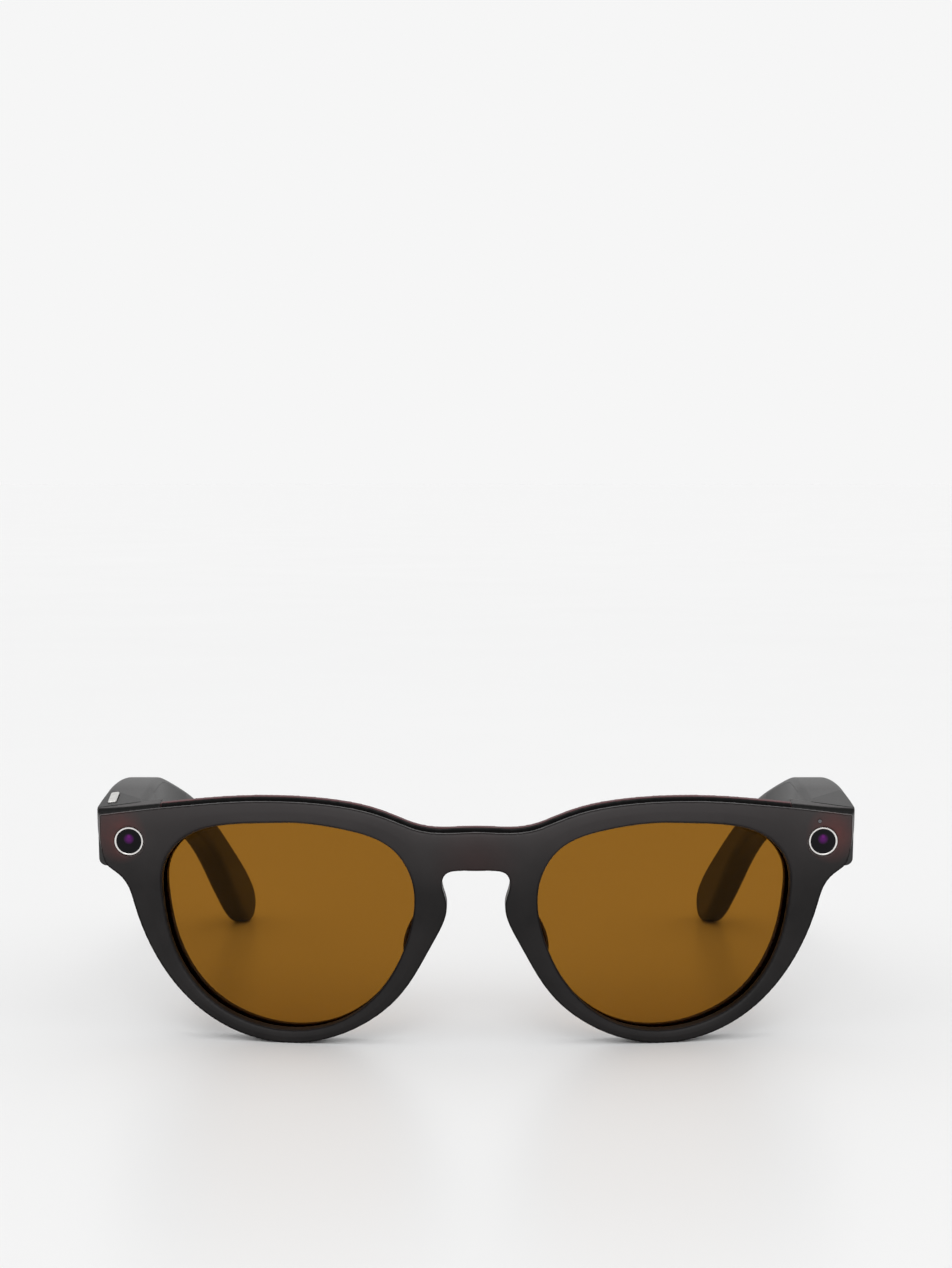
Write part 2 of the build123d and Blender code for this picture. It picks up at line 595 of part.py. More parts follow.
def facet_plane(rise=0.0):
    """The sloping facet on the temple's front top, level with the end-piece at the seam."""
    drop, climb = FACET_SLOPE
    origin = Vector(TEMPLE_INNER, TEMPLE_START, FACET_TOP + rise)
    return Plane(origin=origin, x_dir=Vector(1, 0, -drop), z_dir=Vector(drop, -climb, 1))


def temple_body():
    """The whole temple as one rounded solid."""
    body = temple_side(0) & temple_plan(0, 0)
    long_edges = [e for e in body.edges() if abs((e @ 0.5).Y - TEMPLE_START) > 0.01 and e.length > 3]
    across = [e for e in long_edges if abs((e % 0.5).X) > 0.9]
    body = fillet([e for e in long_edges if e not in across], TEMPLE_ROUND)
    return body - facet_plane() * (Pos(0, 0, FRONT_WIDTH / 2) * Box(FRONT_WIDTH, FRONT_WIDTH, FRONT_WIDTH))


def slice_y(start, end):
    """All space between two distances behind the seam."""
    return block(TEMPLE_INNER - 15, FRONT_WIDTH / 2 + 3, TEMPLE_START + start, TEMPLE_START + end, -20, 80)


def temple_shells():
    """The outer shell and the inner cover."""
    body = temple_body()
    cover_zone = temple_side(COVER_INSET) & slice_y(COVER_START, COVER_END)
    cover_zone = cover_zone - temple_plan(-5, COVER_THICK)
    cavity_side = temple_side(COVER_INSET + COVER_LEDGE)
    behind_leaf = cavity_side & temple_plan(TEMPLE_WALL, TEMPLE_WALL + 0.5) & slice_y(CAVITY_START, COVER_END - 2)
    under_cover = cavity_side & temple_plan(TEMPLE_WALL, COVER_THICK - 0.1)
    under_cover = under_cover & slice_y(COVER_START + COVER_LEDGE, COVER_END - COVER_LEDGE)
    shell = body - cover_zone - behind_leaf - under_cover
    lid = temple_side(COVER_INSET + COVER_CLEAR) & slice_y(COVER_START + COVER_CLEAR, COVER_END - COVER_CLEAR)
    lid = (body & lid) - temple_plan(-5, COVER_THICK)
    return shell, lid


def plan_x(outline, back):
    """X of a temple face at a distance behind the seam, from its plan outline."""
    for (near, x0), (far, x1) in zip(outline, outline[1:]):
        if near <= back <= far:
            return x0 + (x1 - x0) * (back - near) / (far - near)
    return outline[0][1]


def inner_x(back):
    """X of the temple's inner face."""
    return TEMPLE_INNER + plan_x(PLAN_INNER, back)


SPEAKER_INNER = inner_x(SPEAKER_START) + COVER_THICK + 0.25
SPEAKER_X = (SPEAKER_INNER, SPEAKER_INNER + SPEAKER_THICK)


def cable_slot(start, end):
    """Opening for the flat cable through a wall at the seam."""
    return block(CABLE_X - CABLE_CLEAR, CABLE_X + CABLE_THICK + CABLE_CLEAR, start, end,
                 CAMERA_Z - CABLE_HALF - CABLE_CLEAR, CAMERA_Z + CABLE_HALF + CABLE_CLEAR)


def cable(start, end):
    """A length of flat cable through the seam."""
    return block(CABLE_X, CABLE_X + CABLE_THICK, start, end, CAMERA_Z - CABLE_HALF, CAMERA_Z + CABLE_HALF)


def behind(start, end, x0, x1, z0, z1):
    """A box in the temple, placed by its distances behind the seam."""
    return block(x0, x1, TEMPLE_START + start, TEMPLE_START + end, z0, z1)


def speaker_port():
    """The slot under the speaker."""
    return behind(SPEAKER_START + 1, SPEAKER_START + SPEAKER_LENGTH - 1, SPEAKER_X[0] + 0.4, SPEAKER_X[1] - 0.4,
                  20, SPEAKER_Z[0] + 0.1)


def temple_openings():
    """The holes that both outer shells have."""
    x, back, z = TEMPLE_MIC
    port = rod_z(x + 0.7, TEMPLE_START + back + 1.3, PORT_RADIUS, 20, z + 0.1)
    wall = cable_slot(TEMPLE_START - 1, TEMPLE_START + CAVITY_START + 1)
    screw_holes = [rod_x(TEMPLE_START + s, HINGE_MIDDLE, LEAF_SCREW_RADIUS, TEMPLE_INNER - 1, TEMPLE_INNER + 1.15)
                   for s in LEAF_SCREWS]
    return [port, wall, speaker_port()] + screw_holes


# ---------------------------------------------------------------- controls
def button_place():
    """The button's own frame: on the temple's front facet, tilted with it."""
    drop, climb = FACET_SLOPE
    height = FACET_TOP - drop * (BUTTON_X - TEMPLE_INNER) + climb * BUTTON_BACK
    facet = facet_plane()
    centre = Vector(BUTTON_X, TEMPLE_START + BUTTON_BACK, height)
    return Plane(origin=centre, x_dir=facet.x_dir, z_dir=facet.z_dir)


def button_prism(grow, low, high):
    """A rounded rectangle the size of the button, between two heights in the button's frame."""
    outline = RectangleRounded(BUTTON_WIDTH + 2 * grow, BUTTON_LENGTH + 2 * grow, BUTTON_CORNER + grow)
    return button_place() * (Pos(0, 0, low) * extrude(outline, amount=high - low))


def make_button():
    """The capture button: a cap with a retaining flange under the shell."""
    cap = button_prism(0, -BUTTON_BODY, BUTTON_PROUD)
    rim = cap.faces().sort_by(Axis.Z)[-1].edges()
    cap = fillet(rim, 0.25)
    flange = button_prism(BUTTON_RIM, -BUTTON_BODY - 0.5, -BUTTON_BODY)
    return cap + flange


def button_openings():
    """The hole for the button and the space for its flange."""
    hole = button_prism(BUTTON_CLEAR, -6, 4)
    space = button_prism(BUTTON_RIM + BUTTON_CLEAR, -6, -BUTTON_BODY + 0.05)
    return [hole, space]


def make_button_switch():
    """The dome switch under the button."""
    low = -BUTTON_BODY - 0.5 - BUTTON_TRAVEL - 0.05
    base = Pos(0, 0, low - DOME_HEIGHT - SWITCH_BODY[2] / 2) * Box(*SWITCH_BODY)
    dome = Pos(0, 0, low - DOME_HEIGHT / 2) * Cylinder(DOME_RADIUS, DOME_HEIGHT)
    return button_place() * (base + dome)


def make_power_switch():
    """The sliding knob with its flange behind the inner cover."""
    face = inner_x(SWITCH_BACK)
    half = SWITCH_LENGTH / 2
    flange_x = face + COVER_THICK + 0.7
    knob = behind(SWITCH_BACK - half, SWITCH_BACK + half, face - 0.6, flange_x,
                  SWITCH_Z - SWITCH_HEIGHT / 2, SWITCH_Z + SWITCH_HEIGHT / 2)
    knob = fillet(knob.edges().filter_by(Axis.X), 0.5)
    grooves = [behind(SWITCH_BACK + d - 0.15, SWITCH_BACK + d + 0.15, face - 1, face - 0.35, 0, 60)
               for d in (-0.8, 0, 0.8)]
    flange = behind(SWITCH_BACK - half - 1.4, SWITCH_BACK + half + 1.4, flange_x, flange_x + 0.4,
                    SWITCH_Z - SWITCH_HEIGHT / 2 - 0.7, SWITCH_Z + SWITCH_HEIGHT / 2 + 0.7)
    return knob - grooves + flange


def switch_opening():
    """The slot in the inner cover that the power switch slides in."""
    half = SWITCH_LENGTH / 2 + SWITCH_CLEAR
    high = SWITCH_HEIGHT / 2 + SWITCH_CLEAR
    return behind(SWITCH_BACK - half, SWITCH_BACK + half + SWITCH_TRAVEL, TEMPLE_INNER - 2, TEMPLE_INNER + 5,
                  SWITCH_Z - high, SWITCH_Z + high)


# ---------------------------------------------------------------- what the temples hold
def make_temples():
    """Both temples with everything in them."""
    shell, lid = temple_shells()
    for cut in temple_openings():
        shell = shell - cut
    add("temple_shell_left", shell)
    add("temple_cover_left", lid - switch_opening())
    right_shell = shell
    for cut in button_openings():
        right_shell = right_shell - cut
    add("temple_shell_right", mirror(right_shell, about=Plane.YZ))
    add("temple_cover_right", mirror(lid, about=Plane.YZ))
    start = SPEAKER_START
    both("speaker", behind(start, start + SPEAKER_LENGTH, *SPEAKER_X, *SPEAKER_Z))
    low = TEMPLE_UNDER[1][1] + 0.3
    both("speaker_mesh", behind(start + 1.05, start + SPEAKER_LENGTH - 1.05, SPEAKER_X[0] + 0.45,
                                SPEAKER_X[1] - 0.45, low, low + MESH_INSET))
    x, back, z = TEMPLE_MIC
    both("temple_microphone", behind(back, back + 2.6, x, x + 1.4, z + 0.15, z + 1.4))
    both("hinge_cable_temple", cable(TEMPLE_START + 0.15, TEMPLE_START + BOARD_START))
    both("temple_leaf_screws", Compound(leaf_screws()))
    add("battery", fillet(behind(*BATTERY).edges().filter_by(Axis.Y), 0.9))
    add("battery_board", behind(BATTERY[1] + 0.8, BATTERY[1] + 3.4, BOARD_X, BOARD_X + BOARD_THICK, 34.4, 41.2))
    add("audio_board", behind(BOARD_START, 17.0, BOARD_X, BOARD_X + BOARD_THICK, 36.8, 42.6))
    add("power_switch_unit", behind(SWITCH_BACK - 2.6, SWITCH_BACK + 4.0, inner_x(SWITCH_BACK) + COVER_THICK + 1.5, 71.2,
                                    SWITCH_Z - 1.6, SWITCH_Z + 1.6))
    add("power_switch_slider", make_power_switch())
    board = behind(BOARD_START, 42.0, BOARD_X, BOARD_X + BOARD_THICK, 36.8, 42.2)
    shield_start, shield_end, shield_high = SHIELD
    outside = BOARD_X + BOARD_THICK
    shield = behind(shield_start, shield_end, outside, outside + shield_high, 37.2, 41.8)
    touch = behind(14.0, 38.0, 73.2, 73.4, 36.5, 41.5)
    for name, shape in (("main_board", board), ("processor_shield", shield), ("touch_sensor", touch),
                        ("button_switch", make_button_switch()), ("capture_button", make_button())):
        add(name, mirror(shape, about=Plane.YZ))


def make_front_pieces():
    """Everything that stays with the front."""
    add("front_frame", make_front())
    add("rear_frame_cover", make_rear())
    both("lens", make_lens())
    board_end = make_cameras()
    make_hinges()
    add("front_flat_cable", front_cable())
    plate = cover_recess(0.04) - cable_slot(0, SEAM + 5) - anchor(0.02)
    both("endpiece_cover", plate)
    both("hinge_cable_front", cable(board_end, SEAM - 0.02))
    add("charging_contacts", contact_pads(0))
    add("charging_board", contact_board(0) - contact_pads(0))
    add("bridge_microphone", microphone(0))
    add("recording_light", led_guide(0) + led_chip(0))


def finish():
    """Move the origin to the middle of the footprint and write one file per node."""
    make_front_pieces()
    make_temples()
    shapes = [Compound(s) if isinstance(s, list) else s for s in PARTS.values()]
    box = Compound(children=[Compound(s.solids()) for s in shapes]).bounding_box()
    shift = Pos(0, -(box.min.Y + box.max.Y) / 2, -box.min.Z)
    os.makedirs("parts", exist_ok=True)
    for name, shape in zip(PARTS, shapes):
        solids = [shift * solid for solid in shape.solids()]
        export_step(solids[0] if len(solids) == 1 else Compound(solids), f"parts/{name}.step")
    return shift


SHIFT = finish()
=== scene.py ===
"""Smart glasses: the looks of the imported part, with the studio round it."""

import json
import math

import bmesh
import bpy
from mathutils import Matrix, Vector
from mathutils.kdtree import KDTree

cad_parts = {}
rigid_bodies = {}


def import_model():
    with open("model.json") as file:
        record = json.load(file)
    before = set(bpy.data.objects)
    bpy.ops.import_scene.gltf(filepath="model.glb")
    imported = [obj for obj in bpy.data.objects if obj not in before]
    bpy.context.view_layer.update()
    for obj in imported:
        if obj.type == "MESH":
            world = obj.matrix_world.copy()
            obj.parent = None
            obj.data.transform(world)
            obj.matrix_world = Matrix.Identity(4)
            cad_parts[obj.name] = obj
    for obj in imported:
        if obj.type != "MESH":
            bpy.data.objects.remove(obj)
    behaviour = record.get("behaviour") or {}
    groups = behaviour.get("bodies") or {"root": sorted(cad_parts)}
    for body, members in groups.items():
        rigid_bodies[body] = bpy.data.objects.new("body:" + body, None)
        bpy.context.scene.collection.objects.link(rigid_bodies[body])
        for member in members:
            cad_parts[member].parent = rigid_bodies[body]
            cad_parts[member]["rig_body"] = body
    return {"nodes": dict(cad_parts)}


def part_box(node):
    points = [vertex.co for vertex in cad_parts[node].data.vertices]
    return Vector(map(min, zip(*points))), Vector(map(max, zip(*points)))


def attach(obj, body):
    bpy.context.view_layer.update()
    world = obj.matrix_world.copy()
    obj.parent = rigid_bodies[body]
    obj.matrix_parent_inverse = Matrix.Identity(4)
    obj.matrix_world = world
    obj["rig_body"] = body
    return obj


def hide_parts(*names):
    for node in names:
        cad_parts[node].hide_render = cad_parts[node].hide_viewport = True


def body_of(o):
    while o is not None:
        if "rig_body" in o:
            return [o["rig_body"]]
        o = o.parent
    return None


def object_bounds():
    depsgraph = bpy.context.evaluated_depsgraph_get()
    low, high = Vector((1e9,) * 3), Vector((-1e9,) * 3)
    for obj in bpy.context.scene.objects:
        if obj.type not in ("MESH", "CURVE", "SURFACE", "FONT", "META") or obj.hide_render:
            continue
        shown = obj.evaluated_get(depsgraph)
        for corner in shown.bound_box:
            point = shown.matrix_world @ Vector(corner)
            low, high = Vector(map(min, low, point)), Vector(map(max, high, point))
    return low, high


MILLIMETRE = 0.001

# Camera, matched to the viewing angle.
CAMERA_PITCH = math.radians(11.1)
CAMERA_DISTANCE = 0.450
CAMERA_LENS = 66.31
CAMERA_SHIFT = 0.238
AIM_HEIGHT = 0.022

FLOOR_RADIUS = 40.0

# Studio light: an even white surround and two wide suns.
SKY_STRENGTH = 0.922
TOP_SUN = {"elevation": 82, "strength": 0.3, "spread": 60}
FRONT_SUN = {"elevation": 38, "strength": 0.7, "spread": 28}

# The front's face, bent round an upright cylinder and crowned towards its edges.
FACE_RADIUS = 250 * MILLIMETRE
FACE_SKIN = 0.12 * MILLIMETRE        # depth of what still counts as the face
FACING_FORWARD = -0.2                # highest Y of a normal on the face
SHARP_ANGLE = math.radians(38)       # between the two sides of a rim edge
CROWN_REACH = 3.4 * MILLIMETRE       # how far in from the rim the crown begins
CROWN_DROP = 0.50 * MILLIMETRE       # how far the rim falls back
RING_CLEARANCE = 5.2 * MILLIMETRE    # flat seat round each camera

# Painted shade: the groove along the top edge at the parting line, painted black where its shade falls.
GROOVE = (1.55 * MILLIMETRE, 4.95 * MILLIMETRE)   # depths behind the face
GROOVE_SOFT = 0.20 * MILLIMETRE
GROOVE_FLOOR = 40.6 * MILLIMETRE
GROOVE_ENDS = (0.55, 0.75)           # sideways facing over which it fades

# The even mesh of the two frame layers.
VOXEL = 0.20 * MILLIMETRE
SMOOTH_FACTOR = 0.5
FRONT_SMOOTH_STEPS = 9
REAR_SMOOTH_STEPS = 4

# Heights of the frame's colour change, a painted top light that makes it lighter upwards, and the warm
# spots on it: a painted glow near each camera and a warm tint at the bridge.
PAINTED_TOP_LIGHT_HEIGHTS = (30 * MILLIMETRE, 47 * MILLIMETRE)
CLOUD_SHARE = 0.25
GLOW_OFFSET = (1.6 * MILLIMETRE, 1.4 * MILLIMETRE)  # outwards and up from a camera
GLOW_REACH = (1.8 * MILLIMETRE, 6.0 * MILLIMETRE)
BRIDGE_HEIGHT = 36.2 * MILLIMETRE
BRIDGE_REACH = (1.0 * MILLIMETRE, 9.0 * MILLIMETRE)
BRIDGE_SHARE = 0.15
# Painted shade in the top groove.
PAINTED_GROOVE_SHADE = (0.0008, 0.0006, 0.0006)

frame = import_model()
cad_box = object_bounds()
nodes = frame["nodes"]


# ---------------------------------------------------------------- node trees
class Paint:
    """Builds one procedural material out of a few linked nodes."""

    def __init__(self, name):
        self.material = bpy.data.materials.new(name)
        self.material.use_nodes = True
        self.tree = self.material.node_tree
        self.shader = self.tree.nodes["Principled BSDF"]
        coordinates = self.tree.nodes.new("ShaderNodeTexCoord")
        self.place = coordinates.outputs["Object"]
        self.normal = coordinates.outputs["Normal"]

    def node(self, kind, **values):
        """A new shader node of one kind, with its own settings."""
        made = self.tree.nodes.new("ShaderNode" + kind)
        for name, value in values.items():
            setattr(made, name, value)
        return made

    def link(self, start, end):
        self.tree.links.new(start, end)

    def set(self, **sockets):
        """Sets the shader's own sockets, with underscores for spaces."""
        for name, value in sockets.items():
            self.shader.inputs[name.replace("_", " ")].default_value = value

    def noise(self, scale, detail=4.0, roughness=0.55, stretch=(1, 1, 1)):
        """A noise over the object's own place, in features per metre."""
        mapping = self.node("Mapping")
        mapping.inputs["Scale"].default_value = stretch
        self.link(self.place, mapping.inputs["Vector"])
        noise = self.node("TexNoise")
        noise.inputs["Scale"].default_value = scale
        noise.inputs["Detail"].default_value = detail
        noise.inputs["Roughness"].default_value = roughness
        self.link(mapping.outputs["Vector"], noise.inputs["Vector"])
        return noise.outputs["Fac"]

    def ramp(self, factor, stops):
        """Colour stops (position, colour) over a factor."""
        ramp = self.node("ValToRGB")
        while len(ramp.color_ramp.elements) < len(stops):
            ramp.color_ramp.elements.new(0.5)
        for element, (position, colour) in zip(ramp.color_ramp.elements, stops):
            element.position = position
            element.color = (*colour, 1.0)
        self.link(factor, ramp.inputs["Fac"])
        return ramp.outputs["Color"]

    def spread(self, factor, low, high, start=0.3, end=0.7):
        """Maps a factor from start..end to low..high, clamped."""
        spread = self.node("MapRange")
        spread.inputs["From Min"].default_value = start
        spread.inputs["From Max"].default_value = end
        spread.inputs["To Min"].default_value = low
        spread.inputs["To Max"].default_value = high
        self.link(factor, spread.inputs["Value"])
        return spread.outputs["Result"]

    def mix(self, factor, first, second):
        """Mixes two colour sockets by a factor socket."""
        mix = self.node("Mix", data_type="RGBA")
        self.link(factor, mix.inputs[0])
        for socket, colour in ((mix.inputs[6], first), (mix.inputs[7], second)):
            if isinstance(colour, tuple):
                socket.default_value = (*colour, 1.0)
            else:
                self.link(colour, socket)
        return mix.outputs[2]

    def combine(self, operation, first, second):
        """Two factors added or multiplied, held between nothing and one."""
        made = self.node("Math", operation=operation)
        made.use_clamp = True
        self.link(first, made.inputs[0])
        if isinstance(second, (int, float)):
            made.inputs[1].default_value = second
        else:
            self.link(second, made.inputs[1])
        return made.outputs[0]

    def near(self, centre, inner, outer):
        """One at a place in the row frame, falling to nothing at outer metres."""
        distance = self.node("VectorMath", operation="DISTANCE")
        self.link(self.place, distance.inputs[0])
        distance.inputs[1].default_value = centre
        return self.spread(distance.outputs["Value"], 1.0, 0.0, inner, outer)

    def height(self, low, high):
        """Nothing at a low place in the row frame, one at a high one."""
        place = self.node("SeparateXYZ")
        self.link(self.place, place.inputs["Vector"])
        return self.spread(place.outputs["Z"], 0.0, 1.0, low, high)

    def behind_face(self, start, end):
        """Nothing at one depth behind the bent face, one at a deeper one."""
        from_axis = self.node("VectorMath", operation="MULTIPLY_ADD")
        self.link(self.place, from_axis.inputs[0])
        from_axis.inputs[1].default_value = (1, 1, 0)
        from_axis.inputs[2].default_value = (0, -cad_box[0].y - FACE_RADIUS, 0)
        radius = self.node("VectorMath", operation="LENGTH")
        self.link(from_axis.outputs["Vector"], radius.inputs[0])
        return self.spread(radius.outputs["Value"], 0.0, 1.0, FACE_RADIUS - start, FACE_RADIUS - end)

    def groove_shade_mask(self):
        """Mask for the painted black shade: one in the groove behind the face's top edge, nothing
        elsewhere.
        """
        start, end = GROOVE
        behind = self.behind_face(start, start + GROOVE_SOFT)
        ahead = self.behind_face(end + GROOVE_SOFT, end)
        high = self.height(GROOVE_FLOOR, GROOVE_FLOOR + GROOVE_SOFT)
        facing = self.node("SeparateXYZ")
        self.link(self.normal, facing.inputs["Vector"])
        sideways = self.node("Math", operation="ABSOLUTE")
        self.link(facing.outputs["X"], sideways.inputs[0])
        across = self.spread(sideways.outputs[0], 1.0, 0.0, *GROOVE_ENDS)
        between = self.combine("MULTIPLY", behind, ahead)
        inside = self.combine("MULTIPLY", between, high)
        return self.combine("MULTIPLY", inside, across)

    def bump(self, height, depth, strength=1.0):
        """Raises the surface by a height factor, depth in metres."""
        bump = self.node("Bump")
        bump.inputs["Strength"].default_value = strength
        bump.inputs["Distance"].default_value = depth
        self.link(height, bump.inputs["Height"])
        return bump.outputs["Normal"]

    def finish(self, colour, roughness=None, normal=None):
        """The material, with the sockets that vary over its surface linked."""
        for socket, value in (("Base Color", colour), ("Roughness", roughness), ("Normal", normal)):
            if value is not None:
                self.link(value, self.shader.inputs[socket])
        return self.material


def middle(node):
    """The middle of a node's box."""
    low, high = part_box(node)
    return (low + high) / 2


# ---------------------------------------------------------------- materials
def frame_plastic(name, dark, light, warm):
    """Matte dark acetate, near black, painted lighter upwards as top light, with a painted warm glow near
    its cameras and painted black shade in the groove at the parting line.
    """
    paint = Paint(name)
    cloud = paint.noise(90, 3, 0.5)
    fleck = paint.noise(5200, 2, 0.6)
    # Painted top light: lighter upwards, as if lit from above, with random cloudy tone added.
    painted_top_light_and_cloud = paint.height(*PAINTED_TOP_LIGHT_HEIGHTS)
    painted_top_light_and_cloud = paint.combine("ADD", painted_top_light_and_cloud, paint.spread(cloud, 0.0, CLOUD_SHARE))
    base = paint.mix(painted_top_light_and_cloud, dark, light)
    # Painted light: a warm glow near each camera, mottled by noise.
    patches = paint.noise(260, 4, 0.6)
    glow_mottle = paint.spread(patches, 0.45, 1.0, 0.30, 0.70)
    for side in ("left", "right"):
        ring = middle(f"camera_ring_{side}")
        outwards = math.copysign(GLOW_OFFSET[0], ring.x)
        spot = (ring.x + outwards, ring.y, ring.z + GLOW_OFFSET[1])
        glow = paint.near(spot, *GLOW_REACH)
        base = paint.mix(paint.combine("MULTIPLY", glow, glow_mottle), base, warm)
    saddle = paint.near((0.0, cad_box[0].y, BRIDGE_HEIGHT), *BRIDGE_REACH)
    base = paint.mix(paint.combine("MULTIPLY", saddle, BRIDGE_SHARE), base, warm)
    # Painted shade: the groove behind the top edge is painted black.
    base = paint.mix(paint.groove_shade_mask(), base, PAINTED_GROOVE_SHADE)
    roughness = paint.spread(fleck, 0.40, 0.52)
    normal = paint.bump(fleck, 0.012 * MILLIMETRE, 0.55)
    paint.set(IOR=1.48, Specular_IOR_Level=0.22)
    return paint.finish(base, roughness, normal)


def shell_plastic(name, dark, light):
    """Fine matte moulded plastic of the temples."""
    paint = Paint(name)
    cloud = paint.noise(70, 3, 0.5, (1.0, 0.4, 1.0))
    fleck = paint.noise(6000, 2, 0.6)
    base = paint.ramp(cloud, ((0.30, dark), (0.70, light)))
    roughness = paint.spread(fleck, 0.42, 0.54)
    normal = paint.bump(fleck, 0.010 * MILLIMETRE, 0.5)
    paint.set(IOR=1.5, Specular_IOR_Level=0.3)
    return paint.finish(base, roughness, normal)


def tinted_lens(name):
    """Amber brown sun lens, polished, tinted through its mass."""
    paint = Paint(name)
    cloud = paint.noise(25, 2, 0.4)
    amber = (0.274, 0.122, 0.0142)
    light_amber = (0.286, 0.128, 0.0152)
    tint = paint.ramp(cloud, ((0.2, amber), (0.8, light_amber)))
    paint.set(Roughness=0.0, IOR=1.12, Transmission_Weight=1.0)
    return paint.finish(tint)


def camera_glass(name):
    """Black camera window with a painted violet reflection of its coated lens in its middle and a painted
    glint above it.
    """
    paint = Paint(name)
    violet = (0.085, 0.006, 0.110)
    bright_violet = (0.20, 0.014, 0.22)
    colour = paint.ramp(paint.noise(300), ((0.3, (0.002, 0.002, 0.003)), (0.7, (0.004, 0.003, 0.005))))
    for side in ("left", "right"):
        window = middle(f"camera_window_{side}")
        # Painted reflection: a violet spot where the coated lens inside reflects, and a brighter painted
        # glint above it.
        inner = (window.x, window.y, window.z + 0.45 * MILLIMETRE)
        painted_reflection_spot = paint.near(inner, 0.45 * MILLIMETRE, 1.15 * MILLIMETRE)
        colour = paint.mix(painted_reflection_spot, colour, violet)
        top = (window.x, window.y, window.z + 0.95 * MILLIMETRE)
        glint = paint.near(top, 0.10 * MILLIMETRE, 0.55 * MILLIMETRE)
        colour = paint.mix(glint, colour, bright_violet)
    paint.set(Roughness=0.04, IOR=1.52, Specular_IOR_Level=0.12)
    return paint.finish(colour)


def metal(name, colour, worn, rough=(0.2, 0.34), brush=(1, 1, 1), scale=900):
    """Metal with a fine brushed or satin surface."""
    paint = Paint(name)
    grain = paint.noise(scale, 5, 0.65, brush)
    base = paint.ramp(grain, ((0.3, worn), (0.7, colour)))
    paint.set(Metallic=1.0)
    normal = paint.bump(grain, 0.006 * MILLIMETRE, 0.4)
    return paint.finish(base, paint.spread(grain, rough[1], rough[0]), normal)


def plain_plastic(name, dark, light, rough=(0.4, 0.6), scale=2500, depth=0.008):
    """Moulded or laminated plastic with a fine grain."""
    paint = Paint(name)
    grain = paint.noise(scale, 4, 0.6)
    base = paint.ramp(paint.noise(scale / 12, 3, 0.5), ((0.3, dark), (0.7, light)))
    normal = paint.bump(grain, depth * MILLIMETRE, 0.5)
    return paint.finish(base, paint.spread(grain, *rough), normal)


def circuit_board(name):
    """Solder mask with copper traces just showing under it."""
    paint = Paint(name)
    brick = paint.node("TexBrick")
    mapping = paint.node("Mapping")
    traces_per_metre = 900
    mapping.inputs["Scale"].default_value = (traces_per_metre,) * 3
    mapping.inputs["Rotation"].default_value = (0, math.pi / 2, 0)
    paint.link(paint.place, mapping.inputs["Vector"])
    paint.link(mapping.outputs["Vector"], brick.inputs["Vector"])
    brick.inputs["Color1"].default_value = (0.008, 0.055, 0.024, 1)
    brick.inputs["Color2"].default_value = (0.010, 0.070, 0.030, 1)
    brick.inputs["Mortar"].default_value = (0.030, 0.130, 0.055, 1)
    brick.inputs["Mortar Size"].default_value = 0.04
    normal = paint.bump(brick.outputs["Fac"], 0.02 * MILLIMETRE, 0.6)
    roughness = paint.spread(paint.noise(1500), 0.30, 0.42)
    return paint.finish(brick.outputs["Color"], roughness, normal)


def woven_mesh(name):
    """Fine black metal mesh over a speaker port."""
    paint = Paint(name)
    weave = paint.node("TexVoronoi")
    weave.inputs["Scale"].default_value = 3800
    weave.inputs["Randomness"].default_value = 0.0
    paint.link(paint.place, weave.inputs["Vector"])
    wire = (0.10, 0.10, 0.10)
    hole = (0.004, 0.004, 0.004)
    base = paint.ramp(weave.outputs["Distance"], ((0.25, wire), (0.45, hole)))
    paint.set(Metallic=0.8)
    normal = paint.bump(weave.outputs["Distance"], 0.05 * MILLIMETRE)
    return paint.finish(base, paint.spread(paint.noise(2000), 0.35, 0.5), normal)


def light_guide(name):
    """Small clear guide of the recording light, dark while it is off."""
    paint = Paint(name)
    base = paint.ramp(paint.noise(2500), ((0.3, (0.05, 0.05, 0.055)), (0.7, (0.09, 0.09, 0.10))))
    paint.set(Roughness=0.12, IOR=1.49, Coat_Weight=0.6)
    return paint.finish(base)


